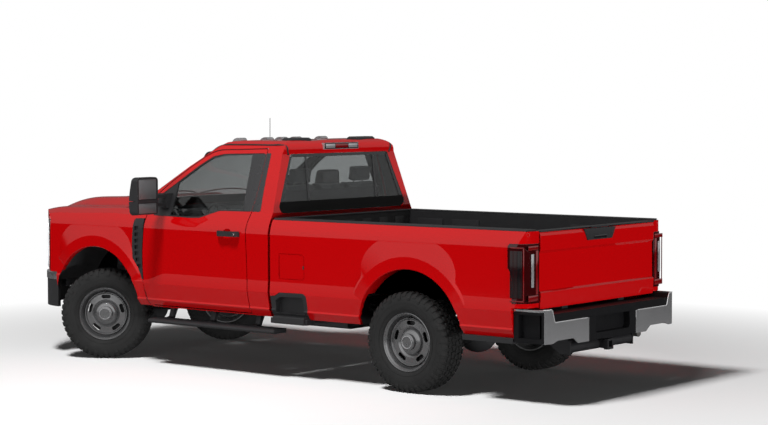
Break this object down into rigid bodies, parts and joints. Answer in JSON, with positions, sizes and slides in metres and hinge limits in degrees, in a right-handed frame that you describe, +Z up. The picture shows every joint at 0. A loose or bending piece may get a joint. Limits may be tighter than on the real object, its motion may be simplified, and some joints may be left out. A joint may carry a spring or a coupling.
{
  "type": "pickup truck",
  "caption": "Regular-cab four-wheel-drive pickup truck with a long load bed, opening doors, hood and tailgate, steered front wheels and a receiver hitch.",
  "frame": {"origin": "on the ground, below the centre of the truck's overall box", "axes": "+X forward, +Y to the left, +Z up"},
  "size_m": [5.888, 2.69, 2.162],
  "materials": {
    "body_red": "gloss clear coat",
    "trim_black": "grained",
    "liner_black": "textured spray liner",
    "glass": "tinted",
    "lamp_clear": "moulded lens",
    "lamp_red": "dark lens",
    "grille_dark": "satin",
    "bright_metal": "bright plate",
    "frame_black": "satin frame coating",
    "cast_parts": "painted",
    "exhaust_steel": "dull",
    "interior_grey": "grained",
    "seat_fabric": "woven",
    "wheel_silver": "argent paint",
    "tyre": "moulded rubber"
  },
  "bodies": {
    "chassis": {"ladder_frame": "frame_black", "cab_shell": "body_red", "fixed_glass": "glass", "roof_lamps": "lamp_clear", "roof_trim": "trim_black", "cowl": "trim_black", "fender_left": "body_red", "fender_right": "body_red", "bed_side_left": "body_red", "bed_side_right": "body_red", "headlamps": "lamp_clear", "wheel_liners": "trim_black", "running_boards": "trim_black", "tail_lamps": "lamp_red", "grille": "grille_dark", "radiator_support": "frame_black", "front_bumper": "bright_metal", "bed_box": "liner_black", "bed_rail_caps": "trim_black", "rear_bumper": "bright_metal", "bumper_pads": "trim_black", "hitch_receiver": "frame_black", "front_axle": "cast_parts", "rear_axle": "cast_parts", "suspension": "frame_black", "engine_block": "cast_parts", "driveline": "cast_parts", "fuel_tank": "trim_black", "exhaust": "exhaust_steel", "dashboard": "interior_grey", "seat_bench": "seat_fabric", "fender_vents": "trim_black", "bed_steps": "trim_black", "lower_strips": "trim_black", "front_valance": "trim_black"},
    "hood": {"hood": "body_red"},
    "tailgate": {"tailgate": "body_red", "tailgate_trim": "trim_black"},
    "fuel_door": {"fuel_door": "body_red"},
    "steer_left": {"knuckle_left": "cast_parts"},
    "steer_right": {"knuckle_right": "cast_parts"},
    "door_left": {"door_left": "body_red", "door_trim_left": "trim_black", "door_glass_left": "glass", "mirror_left": "trim_black"},
    "wheel_front_left": {"rim_front_left": "wheel_silver", "tyre_front_left": "tyre"},
    "wheel_rear_left": {"rim_rear_left": "wheel_silver", "tyre_rear_left": "tyre"},
    "door_right": {"door_right": "body_red", "door_trim_right": "trim_black", "door_glass_right": "glass", "mirror_right": "trim_black"},
    "wheel_front_right": {"rim_front_right": "wheel_silver", "tyre_front_right": "tyre"},
    "wheel_rear_right": {"rim_rear_right": "wheel_silver", "tyre_rear_right": "tyre"}
  },
  "joints": [
    {"name": "hood_hinge", "type": "hinge", "parent": "chassis", "child": "hood", "pos_m": [1.676, 0, 1.352], "axis": [0, -1, 0], "range_deg": [0, 50]},
    {"name": "tailgate_hinge", "type": "hinge", "parent": "chassis", "child": "tailgate", "pos_m": [-2.782, 0, 0.757], "axis": [0, -1, 0], "range_deg": [0, 90]},
    {"name": "fuel_door_hinge", "type": "hinge", "parent": "chassis", "child": "fuel_door", "pos_m": [-0.31, 0.999, 0.95], "axis": [0, 0, -1], "range_deg": [0, 95]},
    {"name": "door_left_hinge", "type": "hinge", "parent": "chassis", "child": "door_left", "pos_m": [1.272, 0.982, 0.9], "axis": [0, 0, -1], "range_deg": [0, 65]},
    {"name": "door_right_hinge", "type": "hinge", "parent": "chassis", "child": "door_right", "pos_m": [1.272, -0.982, 0.9], "axis": [0, 0, 1], "range_deg": [0, 65]},
    {"name": "steer_left_kingpin", "type": "hinge", "parent": "chassis", "child": "steer_left", "pos_m": [1.974, 0.775, 0.405], "axis": [0, 0, 1], "range_deg": [-68, 4]},
    {"name": "steer_right_kingpin", "type": "hinge", "parent": "chassis", "child": "steer_right", "pos_m": [1.974, -0.775, 0.405], "axis": [0, 0, 1], "range_deg": [-68, 4]},
    {"name": "wheel_front_left_spin", "type": "hinge", "parent": "steer_left", "child": "wheel_front_left", "pos_m": [1.92647, 0.84547, 0.405], "axis": [-0.5592, 0.829, 0], "continuous": true},
    {"name": "wheel_rear_left_spin", "type": "hinge", "parent": "chassis", "child": "wheel_rear_left", "pos_m": [-1.623, 0.85, 0.405], "axis": [0, 1, 0], "continuous": true},
    {"name": "wheel_front_right_spin", "type": "hinge", "parent": "steer_right", "child": "wheel_front_right", "pos_m": [2.02153, -0.84547, 0.405], "axis": [-0.5592, 0.829, 0], "continuous": true},
    {"name": "wheel_rear_right_spin", "type": "hinge", "parent": "chassis", "child": "wheel_rear_right", "pos_m": [-1.623, -0.85, 0.405], "axis": [0, 1, 0], "continuous": true}
  ],
  "couplings": [
    {"joint": "steer_right_kingpin", "follows": "steer_left_kingpin", "ratio": 1}
  ]
}
